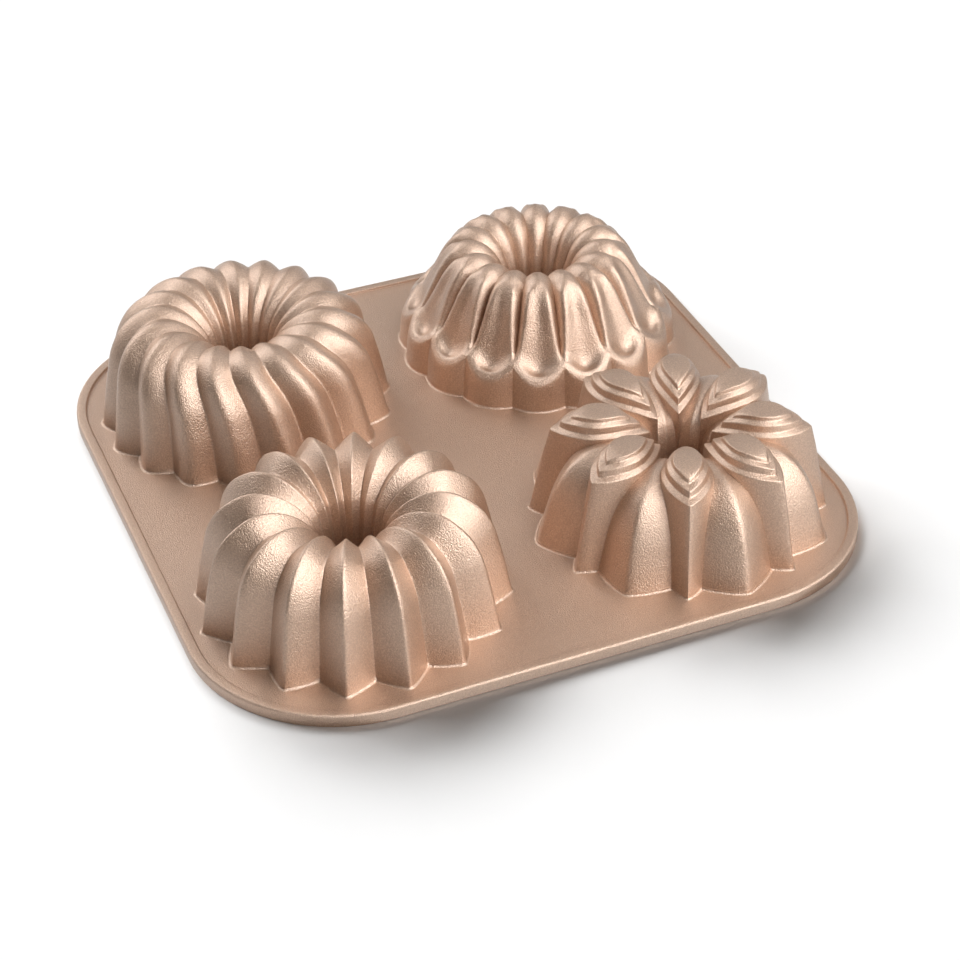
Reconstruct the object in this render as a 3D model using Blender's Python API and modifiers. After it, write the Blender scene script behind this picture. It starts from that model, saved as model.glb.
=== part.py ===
"""Mini bundt pan: a square cast tray with four different ring moulds, standing on its rim, moulds up."""

import math

import bmesh
import bpy

# Tray, in metres. The origin is the middle of the tray on the surface that its rim rests on.
TRAY_WIDTH = 0.280
TRAY_DEPTH = 0.280
TRAY_CORNER_RADIUS = 0.0615
RIM_WIDTH = 0.0042
RIM_HEIGHT = 0.00535
RIM_EDGE_ROUND = 0.0011
DECK_TOP = 0.00415
DECK_THICKNESS = 0.0031

# Where the moulds stand, across and along the tray from its middle. Each mould has half of the
# tray's shorter side to itself, and its size in plan is a share of that.
BACK_ROW_SHARES = (0.2443, 0.2518)
FRONT_ROW_SHARES = (0.2504, 0.2482)
MOULD_ROOM = min(TRAY_WIDTH, TRAY_DEPTH) / 2.0

# Walls and the gap between two neighbouring regions of the casting.
MOULD_WALL = 0.0027
TUBE_WALL = 0.0025
CLEARANCE = 0.0003

# Centre tubes. Each one starts below its mould's throat, narrows like a funnel and ends a little above
# the tray's open face. The table gives how far down and how far drawn in.
TUBE_END_HEIGHT = 0.0030
TUBE_DRAFT_SHARE = 0.30
TUBE_FLUTE_SHARE = 0.55
TUBE_SECTION_SHARES = ((0.00, 0.00), (0.12, 0.30), (0.30, 0.60), (0.60, 0.85), (1.00, 1.00))

# Swirled mould: eighteen rounded lobes that lean over as they climb.
SWIRL_LOBES = 18
SWIRL_FOOT_SHARE = 0.4443
SWIRL_CROWN_HEIGHT = 0.0488
SWIRL_HOLE_RADIUS = 0.0142
SWIRL_LOBE_DEPTH = 0.0055
SWIRL_LEAN = math.radians(-17)
SWIRL_TURN = math.radians(10)
SWIRL_LOBE_ROUND_SHARE = 0.45

# Star mould: sixteen straight ribs with sharp ridges.
STAR_RIBS = 16
STAR_FOOT_SHARE = 0.4400
STAR_CROWN_HEIGHT = 0.0483
STAR_HOLE_RADIUS = 0.0140
STAR_RIB_DEPTH = 0.0080

# Scalloped mould: sixteen ribs that open into spoons above a scalloped skirt.
SCALLOP_LOBES = 16
SCALLOP_FOOT_SHARE = 0.4407
SCALLOP_CROWN_HEIGHT = 0.0492
SCALLOP_HOLE_RADIUS = 0.0142
SCALLOP_LOBE_DEPTH = 0.0046
SCALLOP_SPOON_DEPTH = 0.0025
SCALLOP_SPOON_EDGE_SHARE = 0.25

# Petal mould: eight arched panels with eight stepped leaves standing between them. What lies in
# plan is a share of the mould's room, so that leaves and arches keep their fit on another tray.
PETALS = 8
PETAL_ARCH_FOOT_SHARE = 0.4443
PETAL_ARCH_HEIGHT = 0.0398
PETAL_ARCH_HOLE_SHARE = 0.1086
PETAL_ARCH_HOLE_RADIUS = MOULD_ROOM * PETAL_ARCH_HOLE_SHARE
PETAL_ARCH_DEPTH_SHARE = 0.0786
PETAL_ARCH_DEPTH = MOULD_ROOM * PETAL_ARCH_DEPTH_SHARE
PETAL_ARCH_ROUND_SHARE = 0.08
PETAL_TIP_FOOT_SHARE = 0.4321
PETAL_TIP_FOOT_RADIUS = MOULD_ROOM * PETAL_TIP_FOOT_SHARE
LEAF_OUTER_SHARE = 0.3729
LEAF_OUTER_RADIUS = MOULD_ROOM * LEAF_OUTER_SHARE
LEAF_INNER_SHARE = 0.0871
LEAF_INNER_RADIUS = MOULD_ROOM * LEAF_INNER_SHARE
LEAF_WIDTH_SHARE = 0.0729
LEAF_HALF_WIDTH = MOULD_ROOM * LEAF_WIDTH_SHARE
LEAF_EDGE_HEIGHT = 0.0405
LEAF_STEP_RISE = 0.0029
LEAF_TOP_RISE = 0.0021
LEAF_TREAD_RISE = 0.0012
LEAF_TREAD_SHARE = 0.0164
LEAF_TREAD_WIDTH = MOULD_ROOM * LEAF_TREAD_SHARE
LEAF_RISER_SLOPE = 0.0004
LEAF_OUTER_DROP = 0.0014
LEAF_INNER_DROP = 0.0034
PETAL_FACE_SHARE = 0.42
LEAF_OUTER_DRAW_SHARE = 1.6
LEAF_INNER_DRAW_SHARE = 1.9

# Overrun of a cutter past the face that it cuts.
OVERRUN = 0.0010

# Section shares: how far out between the hole and the foot, how far up between deck and crown,
# and how deep the crease lies there. A fourth share is the lean of the swirled lobes. On the
# scalloped mould the fourth is how fully the rib has turned into a spoon, and the fifth where the
# spoon's raised edge stands between the rib's middle and the crease.
SWIRL_SECTION_SHARES = (
    (1.000, 0.000, 1.00, 0.00), (0.905, 0.480, 0.97, 0.19), (0.848, 0.690, 0.93, 0.34),
    (0.765, 0.830, 0.84, 0.51), (0.660, 0.922, 0.70, 0.68), (0.535, 0.984, 0.52, 0.80),
    (0.407, 1.000, 0.42, 0.89), (0.280, 0.972, 0.38, 0.95), (0.165, 0.905, 0.36, 1.00),
    (0.070, 0.811, 0.34, 1.00), (0.000, 0.694, 0.32, 1.00),
)
STAR_SECTION_SHARES = (
    (1.000, 0.000, 1.00), (0.905, 0.480, 0.97), (0.846, 0.690, 0.95), (0.762, 0.830, 0.92),
    (0.658, 0.920, 0.85), (0.535, 0.985, 0.76), (0.407, 1.000, 0.70), (0.280, 0.970, 0.60),
    (0.165, 0.902, 0.46), (0.070, 0.808, 0.36), (0.000, 0.700, 0.28),
)
SCALLOP_SECTION_SHARES = (
    (1.000, 0.000, 0.65, 0.00, 0.25), (0.981, 0.200, 0.65, 0.00, 0.25),
    (0.966, 0.268, 0.63, 0.00, 0.34), (0.900, 0.322, 0.65, 0.45, 0.42),
    (0.829, 0.390, 0.76, 1.00, 0.40), (0.745, 0.525, 0.82, 0.90, 0.34),
    (0.669, 0.678, 0.90, 0.50, 0.29), (0.598, 0.820, 1.00, 0.00, 0.25),
    (0.497, 0.936, 1.00, 0.00, 0.25), (0.343, 1.000, 0.80, 0.00, 0.25),
    (0.213, 0.975, 0.54, 0.00, 0.25), (0.093, 0.877, 0.44, 0.00, 0.25),
    (0.000, 0.688, 0.40, 0.00, 0.25),
)
PETAL_ARCH_SECTION_SHARES = (
    (1.000, 0.000, 1.00), (0.922, 0.330, 0.98), (0.858, 0.560, 0.94), (0.783, 0.725, 0.86),
    (0.683, 0.862, 0.72), (0.566, 0.946, 0.50), (0.443, 0.990, 0.36), (0.315, 1.000, 0.30),
    (0.190, 0.970, 0.24), (0.085, 0.915, 0.20), (0.000, 0.850, 0.18),
)

# Leaf outline: where along the leaf it is widest, and how full its ends are.
LEAF_WIDEST_POWER_SHARE = 1.16
LEAF_FULLNESS_SHARE = 0.75
LEAF_TIP_MITRE_SHARE = 1.5

# How finely the curves are divided, and the fold from which an edge counts as sharp.
LEAF_OUTLINE_STEPS = 7
STAR_STEPS_PER_RIB = 2
SWIRL_STEPS_PER_LOBE = 4
SCALLOP_STEPS_PER_LOBE = 4
ARCH_STEPS = 4
TUBE_STEPS_PER_RIB = 2
CORNER_STEPS = 9
THROAT_CUT_STEPS = 32
SHARP_ANGLE = math.radians(28)
BEVEL_ANGLE = math.radians(60)

COATING_COLOUR = (0.545, 0.335, 0.215, 1.0)
COATING_ROUGHNESS = 0.42
COATING_METALLIC = 0.85
DECK_ROUGHNESS = 0.50
RIM_ROUGHNESS = 0.46


def clear_scene():
    """Remove whatever the scene holds."""
    for item in list(bpy.data.objects):
        bpy.data.objects.remove(item, do_unlink=True)


def make_collection(name):
    """A collection linked to the scene."""
    group = bpy.data.collections.new(name)
    bpy.context.scene.collection.children.link(group)
    return group


def make_material(name, roughness):
    """The champagne coating, at one roughness."""
    material = bpy.data.materials.new(name)
    material.use_nodes = True
    shader = material.node_tree.nodes["Principled BSDF"]
    shader.inputs["Base Color"].default_value = COATING_COLOUR
    shader.inputs["Roughness"].default_value = roughness
    shader.inputs["Metallic"].default_value = COATING_METALLIC
    material.diffuse_color = COATING_COLOUR
    return material


def add_object(name, mesh_builder, group, material=None, location=(0.0, 0.0, 0.0)):
    """Turn a bmesh into a named object."""
    bmesh.ops.recalc_face_normals(mesh_builder, faces=mesh_builder.faces)
    mesh = bpy.data.meshes.new(name)
    mesh_builder.to_mesh(mesh)
    mesh_builder.free()
    item = bpy.data.objects.new(name, mesh)
    item.location = location
    group.objects.link(item)
    if material is not None:
        mesh.materials.append(material)
        mesh.shade_smooth()
        mesh.set_sharp_from_angle(angle=SHARP_ANGLE)
    return item


def add_boolean(target, cutter, operation, solver="EXACT"):
    """Cut one object with another, or join them.

    The exact solver leaves open edges where the petals' leaves and arches meet at a slant, so those
    cuts name the manifold solver.
    """
    modifier = target.modifiers.new(operation.title() + "_" + cutter.name, "BOOLEAN")
    modifier.operation = operation
    modifier.solver = solver
    modifier.object = cutter
    cutter.hide_render = True
    cutter.display_type = "WIRE"


def profile_normals(points):
    """Outward normals of an open profile; the two ends point straight out and straight in."""
    normals = []
    for index in range(len(points)):
        before = points[max(index - 1, 0)]
        after = points[min(index + 1, len(points) - 1)]
        run = (after[0] - before[0], after[1] - before[1])
        length = math.hypot(*run)
        normals.append((run[1] / length, -run[0] / length))
    normals[0] = (1.0, 0.0)
    normals[-1] = (-1.0, 0.0)
    return normals


def ridge_profile(shares, foot_radius, hole_radius, crown_height):
    """Ridge line from the deck's underside over the crown to the throat, as (radius, height)."""
    points = [(foot_radius, DECK_TOP - DECK_THICKNESS)]
    for station in shares:
        radius = hole_radius + (foot_radius - hole_radius) * station[0]
        points.append((radius, DECK_TOP + crown_height * station[1]))
    return points


def offset_profile(points, normals, depths):
    """The profile moved inward along its normals, each point by its own depth."""
    moved = []
    for (radius, height), (out, up), depth in zip(points, normals, depths):
        moved.append((radius - out * depth, height - up * depth))
    return moved


def mitre_share(radius, depth, ribs):
    """How much farther a folded wall is moved so that its slanting faces keep their thickness."""
    half_rib = math.pi * radius / ribs
    return math.hypot(depth, half_rib) / half_rib


def section_stations(shares, ribs, foot_share, hole_radius, crown_height, depth):
    """Ridge and crease points of a mould's outer and inner skins, from foot to throat."""
    ridge = ridge_profile(shares, MOULD_ROOM * foot_share, hole_radius, crown_height)
    normals = profile_normals(ridge)
    normals[1] = (1.0, 0.0)
    depths = [depth * shares[0][2]] + [depth * station[2] for station in shares]
    crease = offset_profile(ridge, normals, depths)
    walls = [MOULD_WALL * mitre_share(point[0], fold, ribs) for point, fold in zip(ridge, depths)]
    inner_ridge = offset_profile(ridge, normals, walls)
    inner_crease = offset_profile(crease, normals, walls)
    return list(zip(ridge, crease)), list(zip(inner_ridge, inner_crease))


def station_share(shares, index, column):
    """One column of a share table for a station of the closed section, outer skin or inner."""
    count = len(shares) + 1
    climbed = index if index < count else 2 * count - 1 - index
    return shares[max(climbed - 1, 0)][column]


def flat_rib(phase, _index):
    """Straight faces from a sharp ridge down to a sharp crease."""
    return 1.0 - 2.0 * abs(phase)


def round_rib(phase, roundness):
    """Like a flat rib, with its ridge rounded over."""
    reach = math.hypot(1.0, roundness) - roundness
    return 1.0 - (math.hypot(2.0 * phase, roundness) - roundness) / reach


def arc_rib(phase):
    """A scallop: part of a circle between two cusps."""
    return 1.0 - (2.0 * phase) ** 2


def rib_phase(step, steps_per_rib):
    """Where a step lies on its rib: zero on the ridge, half a turn either way in the creases."""
    phase = (step % steps_per_rib) / steps_per_rib
    return phase - 1.0 if phase > 0.5 else phase


def spin_section(loop, steps):
    """Spin a closed section round the vertical axis. Each vertex keeps the index of its station."""
    builder = bmesh.new()
    station = builder.verts.layers.int.new("station")
    verts = []
    for index, (radius, height) in enumerate(loop):
        vert = builder.verts.new((radius, 0.0, height))
        vert[station] = index
        verts.append(vert)
    edges = [builder.edges.new((verts[i - 1], verts[i])) for i in range(len(verts))]
    bmesh.ops.spin(builder, geom=verts + edges, cent=(0.0, 0.0, 0.0), axis=(0.0, 0.0, 1.0),
                   angle=2.0 * math.pi, steps=steps, use_merge=True, use_duplicate=False)
    return builder, station


def fluted_ring(stations, ribs, steps_per_rib, rib_height, first_angle, shift):
    """Spin a section and press the ribs into it.

    stations holds (ridge, crease) pairs all the way round the closed section. rib_height gives the
    share of the way from crease to ridge at a rib's phase and station, and shift the angle by which
    the point there is turned on from its even place.
    """
    steps = ribs * steps_per_rib
    builder, layer = spin_section([ridge for ridge, _ in stations], steps)
    for vert in builder.verts:
        index = vert[layer]
        (ridge_radius, ridge_height), (crease_radius, crease_height) = stations[index]
        step = round(math.atan2(vert.co.y, vert.co.x) / (2.0 * math.pi) * steps)
        phase = rib_phase(step, steps_per_rib)
        share = rib_height(phase, index)
        radius = crease_radius + (ridge_radius - crease_radius) * share
        angle = 2.0 * math.pi * step / steps + first_angle + shift(phase, index)
        vert.co.x = radius * math.cos(angle)
        vert.co.y = radius * math.sin(angle)
        vert.co.z = crease_height + (ridge_height - crease_height) * share
    return builder


def closed_section(outer, inner):
    """Outer skin from foot to throat, then the inner skin back down."""
    return outer + list(reversed(inner))


def no_shift(_phase, _index):
    """Ribs that are evenly spaced and run straight out from the axis."""
    return 0.0


def tube_stations(throat, flute):
    """A funnel that carries on from the mould's throat, with its own wall."""
    throat_radius, throat_height = throat
    top = throat_height - CLEARANCE
    outer = []
    for fallen, drawn in TUBE_SECTION_SHARES:
        ridge = throat_radius * (1.0 - TUBE_DRAFT_SHARE * drawn)
        depth = flute * (1.0 - (1.0 - TUBE_FLUTE_SHARE) * fallen)
        height = top + (TUBE_END_HEIGHT - top) * fallen
        outer.append(((ridge, height), (ridge + depth, height)))
    inner = [((r[0] + TUBE_WALL, r[1]), (v[0] + TUBE_WALL, v[1])) for r, v in outer]
    return outer, inner


def add_tube(name, mould_outer, ribs, first_angle, group, material, location):
    """The centre tube under a mould's throat, open at both ends."""
    ridge, crease = mould_outer[-1]
    outer, inner = tube_stations(ridge, crease[0] - ridge[0])
    stations = closed_section(outer, inner)
    builder = fluted_ring(stations, ribs, TUBE_STEPS_PER_RIB, flat_rib, first_angle, no_shift)
    return add_object(name, builder, group, material, location)


def add_deck_cutter(name, foot, ribs, steps_per_rib, rib_height, first_angle, group, location):
    """A prism of the mould's foot outline, one clearance larger, that opens the deck for it."""
    (ridge_radius, _), (crease_radius, _) = foot
    gap = CLEARANCE * mitre_share(ridge_radius, ridge_radius - crease_radius, ribs)
    low = DECK_TOP - DECK_THICKNESS - OVERRUN
    high = DECK_TOP + OVERRUN
    steps = ribs * steps_per_rib
    builder = bmesh.new()
    bmesh.ops.create_circle(builder, cap_ends=True, radius=ridge_radius, segments=steps)
    for vert in builder.verts:
        step = round(math.atan2(vert.co.y, vert.co.x) / (2.0 * math.pi) * steps)
        share = rib_height(rib_phase(step, steps_per_rib), 0)
        radius = gap + crease_radius + (ridge_radius - crease_radius) * share
        angle = 2.0 * math.pi * step / steps + first_angle
        vert.co = (radius * math.cos(angle), radius * math.sin(angle), low)
    top = bmesh.ops.extrude_face_region(builder, geom=builder.faces[:])
    raised = [item for item in top["geom"] if isinstance(item, bmesh.types.BMVert)]
    bmesh.ops.translate(builder, verts=raised, vec=(0.0, 0.0, high - low))
    return add_object(name, builder, group, location=location)


def rounded_square(builder, half_x, half_y, corner, height):
    """One flat face with rounded corners."""
    verts = []
    for quarter, (side_x, side_y) in enumerate(((1, 1), (-1, 1), (-1, -1), (1, -1))):
        for step in range(CORNER_STEPS + 1):
            angle = math.pi / 2.0 * (quarter + step / CORNER_STEPS)
            x = side_x * (half_x - corner) + corner * math.cos(angle)
            y = side_y * (half_y - corner) + corner * math.sin(angle)
            verts.append(builder.verts.new((x, y, height)))
    return builder.faces.new(verts)


def rounded_slab(inset, low, high):
    """A slab with the tray's outline, drawn in by inset."""
    builder = bmesh.new()
    face = rounded_square(builder, TRAY_WIDTH / 2.0 - inset, TRAY_DEPTH / 2.0 - inset,
                          TRAY_CORNER_RADIUS - inset, low)
    top = bmesh.ops.extrude_face_region(builder, geom=[face])
    raised = [item for item in top["geom"] if isinstance(item, bmesh.types.BMVert)]
    bmesh.ops.translate(builder, verts=raised, vec=(0.0, 0.0, high - low))
    return builder


def add_rim(group, cutters, material):
    """The raised border that runs round the tray and carries it, with rounded outer edges."""
    rim = add_object("rim_border", rounded_slab(0.0, 0.0, RIM_HEIGHT), group, material)
    bevel = rim.modifiers.new("Outer_edges", "BEVEL")
    bevel.width = RIM_EDGE_ROUND
    bevel.segments = 2
    bevel.limit_method = "ANGLE"
    bevel.angle_limit = BEVEL_ANGLE
    inside = add_object("rim_inside", rounded_slab(RIM_WIDTH, -OVERRUN, RIM_HEIGHT + OVERRUN), cutters)
    add_boolean(rim, inside, "DIFFERENCE")
    return rim


def add_deck(group, material, openings):
    """The flat plate between the rim and the moulds' feet."""
    slab = rounded_slab(RIM_WIDTH + CLEARANCE, DECK_TOP - DECK_THICKNESS, DECK_TOP)
    deck = add_object("deck_plate", slab, group, material)
    for cutter in openings:
        add_boolean(deck, cutter, "DIFFERENCE")
    return deck


def add_swirl(group, cutters, material, location):
    """The swirled mould, its tube and the opening it needs in the deck."""
    outer, inner = section_stations(SWIRL_SECTION_SHARES, SWIRL_LOBES, SWIRL_FOOT_SHARE,
                                    SWIRL_HOLE_RADIUS, SWIRL_CROWN_HEIGHT, SWIRL_LOBE_DEPTH)

    def lean(_phase, index):
        """The lobes stand upright at the foot and lean over as they climb."""
        return SWIRL_LEAN * station_share(SWIRL_SECTION_SHARES, index, 3)

    def rib(phase, _index):
        return round_rib(phase, SWIRL_LOBE_ROUND_SHARE)

    shell = fluted_ring(closed_section(outer, inner), SWIRL_LOBES, SWIRL_STEPS_PER_LOBE, rib,
                        SWIRL_TURN, lean)
    add_object("swirl_mould", shell, group, material, location)
    add_tube("swirl_centre_tube", outer, SWIRL_LOBES, SWIRL_TURN + SWIRL_LEAN, group, material, location)
    return add_deck_cutter("swirl_opening", outer[0], SWIRL_LOBES, SWIRL_STEPS_PER_LOBE, rib,
                           SWIRL_TURN, cutters, location)


def add_star(group, cutters, material, location):
    """The star mould, its tube and the opening it needs in the deck."""
    outer, inner = section_stations(STAR_SECTION_SHARES, STAR_RIBS, STAR_FOOT_SHARE,
                                    STAR_HOLE_RADIUS, STAR_CROWN_HEIGHT, STAR_RIB_DEPTH)
    shell = fluted_ring(closed_section(outer, inner), STAR_RIBS, STAR_STEPS_PER_RIB, flat_rib, 0.0,
                        no_shift)
    add_object("star_mould", shell, group, material, location)
    add_tube("star_centre_tube", outer, STAR_RIBS, 0.0, group, material, location)
    return add_deck_cutter("star_opening", outer[0], STAR_RIBS, STAR_STEPS_PER_RIB, flat_rib, 0.0,
                           cutters, location)


def spoon_rib(phase):
    """A rib hollowed along its middle, between two raised edges."""
    middle = 1.0 - SCALLOP_SPOON_DEPTH / SCALLOP_LOBE_DEPTH
    if abs(phase) <= SCALLOP_SPOON_EDGE_SHARE:
        return middle + (1.0 - middle) * abs(phase) / SCALLOP_SPOON_EDGE_SHARE
    return (0.5 - abs(phase)) / (0.5 - SCALLOP_SPOON_EDGE_SHARE)


def scallop_rib(phase, index):
    """A round rib on the crown and the skirt that opens into a spoon between them."""
    spoon = station_share(SCALLOP_SECTION_SHARES, index, 3)
    return arc_rib(phase) * (1.0 - spoon) + spoon_rib(phase) * spoon


def scallop_shift(phase, index):
    """Spread the spoon's raised edges towards the creases."""
    if phase == 0.0 or abs(phase) == 0.5:
        return 0.0
    edge = station_share(SCALLOP_SECTION_SHARES, index, 4)
    pitch = 2.0 * math.pi / SCALLOP_LOBES
    return math.copysign((edge - SCALLOP_SPOON_EDGE_SHARE) * pitch, phase)


def add_scallop(group, cutters, material, location):
    """The scalloped mould, its tube and the opening it needs in the deck."""
    outer, inner = section_stations(SCALLOP_SECTION_SHARES, SCALLOP_LOBES, SCALLOP_FOOT_SHARE,
                                    SCALLOP_HOLE_RADIUS, SCALLOP_CROWN_HEIGHT, SCALLOP_LOBE_DEPTH)
    shell = fluted_ring(closed_section(outer, inner), SCALLOP_LOBES, SCALLOP_STEPS_PER_LOBE,
                        scallop_rib, 0.0, scallop_shift)
    add_object("scallop_mould", shell, group, material, location)
    add_tube("scallop_centre_tube", outer, SCALLOP_LOBES, 0.0, group, material, location)
    return add_deck_cutter("scallop_opening", outer[0], SCALLOP_LOBES, SCALLOP_STEPS_PER_LOBE,
                           scallop_rib, 0.0, cutters, location)


def leaf_outline(outer_tip, inner_tip, half_width):
    """Pointed leaf along +X, as (x, y) points from the outer tip round to it again."""
    side = []
    for step in range(1, LEAF_OUTLINE_STEPS):
        share = 0.5 - 0.5 * math.cos(math.pi * step / LEAF_OUTLINE_STEPS)
        wide = math.sin(math.pi * share ** LEAF_WIDEST_POWER_SHARE) ** LEAF_FULLNESS_SHARE
        side.append((inner_tip + (outer_tip - inner_tip) * share, half_width * wide))
    left = [(x, y) for x, y in reversed(side)]
    right = [(x, -y) for x, y in side]
    return [(outer_tip, 0.0)] + left + [(inner_tip, 0.0)] + right


def leaf_drop(along):
    """How far the leaf's surface falls towards its two tips."""
    middle = (LEAF_OUTER_RADIUS + LEAF_INNER_RADIUS) / 2.0
    half = (LEAF_OUTER_RADIUS - LEAF_INNER_RADIUS) / 2.0
    drop = LEAF_OUTER_DROP if along > middle else LEAF_INNER_DROP
    return drop * ((along - middle) / half) ** 2


def petal_levels(shrink):
    """Outlines of one petal from below the deck to its flat top; shrink draws them in by a wall."""
    edge = DECK_TOP + LEAF_EDGE_HEIGHT
    rise = (0.0, LEAF_TREAD_RISE, LEAF_STEP_RISE, LEAF_TREAD_RISE, LEAF_TOP_RISE)
    draw = (0.0, LEAF_TREAD_WIDTH, LEAF_RISER_SLOPE, LEAF_TREAD_WIDTH, LEAF_RISER_SLOPE)
    lean = PETAL_TIP_FOOT_RADIUS - LEAF_OUTER_RADIUS
    levels = []
    low = DECK_TOP - DECK_THICKNESS - (OVERRUN if shrink else 0.0)
    pull = LEAF_TIP_MITRE_SHARE * shrink
    for height, share in ((low, 1.0), (DECK_TOP, 1.0), ((DECK_TOP + edge) / 2.0, PETAL_FACE_SHARE)):
        outline = leaf_outline(LEAF_OUTER_RADIUS + lean * share - pull, LEAF_INNER_RADIUS + pull,
                               LEAF_HALF_WIDTH - shrink)
        levels.append([(x, y, height) for x, y in outline])
    height = edge - shrink
    inward = 0.0
    for up, within in zip(rise, draw):
        height += up
        inward += within
        outline = leaf_outline(LEAF_OUTER_RADIUS - pull - LEAF_OUTER_DRAW_SHARE * inward,
                               LEAF_INNER_RADIUS + pull + LEAF_INNER_DRAW_SHARE * inward,
                               LEAF_HALF_WIDTH - shrink - inward)
        levels.append([(x, y, height - leaf_drop(x)) for x, y in outline])
    return levels


def stack_levels(levels):
    """Join a stack of outlines into one closed body."""
    builder = bmesh.new()
    rings = []
    for level in levels:
        verts = [builder.verts.new(point) for point in level]
        edges = [builder.edges.new((verts[i - 1], verts[i])) for i in range(len(verts))]
        rings.append((verts, edges))
    for lower, upper in zip(rings, rings[1:]):
        bmesh.ops.bridge_loops(builder, edges=lower[1] + upper[1])
    for verts, _ in (rings[0], rings[-1]):
        builder.faces.new(verts)
    return builder


def add_petals(name, shrink, group, location, turn):
    """All the petals of one skin as separate bodies, for a union with the arches."""
    petals = []
    for index in range(PETALS):
        petal = add_object(name + "_" + str(index + 1), stack_levels(petal_levels(shrink)), group,
                           location=location)
        petal.rotation_euler.z = turn + 2.0 * math.pi * index / PETALS
        petals.append(petal)
    return petals


def arch_rib(phase, _index):
    """A panel with a soft ridge along its middle."""
    return round_rib(phase, PETAL_ARCH_ROUND_SHARE)


def add_arch_body(name, skin, low, group, material, location):
    """The arches as one thick ring, solid from its skin down to a flat underside."""
    throat = skin[-1]
    bottom = ((throat[0][0], low), (throat[1][0], low))
    foot = ((skin[0][0][0], low), (skin[0][1][0], low))
    stations = [foot] + skin[1:] + [bottom]
    builder = fluted_ring(stations, PETALS, ARCH_STEPS, arch_rib, 0.0, no_shift)
    return add_object(name, builder, group, material, location)


def add_throat_cut(group, radius, high, location):
    """A cylinder that ends the mould at its throat, where the centre tube takes over."""
    low = -OVERRUN
    builder = bmesh.new()
    bmesh.ops.create_cone(builder, cap_ends=True, segments=THROAT_CUT_STEPS, radius1=radius,
                          radius2=radius, depth=high - low)
    bmesh.ops.translate(builder, verts=builder.verts[:], vec=(0.0, 0.0, (high + low) / 2.0))
    return add_object("petal_throat_cut", builder, group, location=location)


def add_petal_tube(group, material, high, location, turn):
    """The tube under the petal mould, folded inward at each leaf."""
    throat = [((LEAF_INNER_RADIUS, high), (PETAL_ARCH_HOLE_RADIUS, high))]
    return add_tube("petal_centre_tube", throat, PETALS, turn, group, material, location)


def add_petal_opening(group, foot, location, turn):
    """The opening in the deck: the arches' foot joined with the leaves' feet."""
    opening = add_deck_cutter("petal_opening", foot, PETALS, ARCH_STEPS, arch_rib, 0.0, group, location)
    for petal in add_petals("petal_foot", -CLEARANCE, group, location, turn):
        add_boolean(opening, petal, "UNION", "MANIFOLD")
    return opening


def add_petal(group, cutters, material, location):
    """The petal mould: arches and leaves joined, hollowed by the same shape one wall smaller."""
    outer, inner = section_stations(PETAL_ARCH_SECTION_SHARES, PETALS, PETAL_ARCH_FOOT_SHARE,
                                    PETAL_ARCH_HOLE_RADIUS, PETAL_ARCH_HEIGHT, PETAL_ARCH_DEPTH)
    low = DECK_TOP - DECK_THICKNESS
    turn = math.pi / PETALS
    mould = add_arch_body("petal_mould", outer, low, group, material, location)
    for petal in add_petals("petal_leaf", 0.0, cutters, location, turn):
        add_boolean(mould, petal, "UNION", "MANIFOLD")
    hollow = add_arch_body("petal_hollow", inner, low - OVERRUN, cutters, None, location)
    for petal in add_petals("petal_leaf_hollow", MOULD_WALL, cutters, location, turn):
        add_boolean(hollow, petal, "UNION", "MANIFOLD")
    add_boolean(mould, hollow, "DIFFERENCE", "MANIFOLD")
    reach = inner[-1][1][0] + OVERRUN
    high = outer[-1][0][1]
    add_boolean(mould, add_throat_cut(cutters, reach, high, location), "DIFFERENCE", "MANIFOLD")
    add_petal_tube(group, material, high, location, turn)
    return add_petal_opening(cutters, outer[0], location, turn)


def main():
    clear_scene()
    group = make_collection("mini_bundt_pan")
    cutters = make_collection("cutters")
    glossy = make_material("coated_mould", COATING_ROUGHNESS)
    satin = make_material("coated_deck", DECK_ROUGHNESS)
    edge = make_material("coated_rim", RIM_ROUGHNESS)
    back_x, back_y = (TRAY_WIDTH * BACK_ROW_SHARES[0], TRAY_DEPTH * BACK_ROW_SHARES[1])
    front_x, front_y = (TRAY_WIDTH * FRONT_ROW_SHARES[0], TRAY_DEPTH * FRONT_ROW_SHARES[1])
    openings = [
        add_swirl(group, cutters, glossy, (-back_x, back_y, 0.0)),
        add_star(group, cutters, glossy, (-front_x, -front_y, 0.0)),
        add_scallop(group, cutters, glossy, (back_x, back_y, 0.0)),
        add_petal(group, cutters, glossy, (front_x, -front_y, 0.0)),
    ]
    add_deck(group, satin, openings)
    add_rim(group, cutters, edge)


main()
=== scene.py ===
"""Looks of a square cast baking tray with four ring moulds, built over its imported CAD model."""

import math
from collections import namedtuple

import bmesh
import bpy
from bpy.props import FloatProperty, FloatVectorProperty, IntProperty, PointerProperty
from bpy.types import Operator, Panel, PropertyGroup
from mathutils import Matrix, Vector


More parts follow.
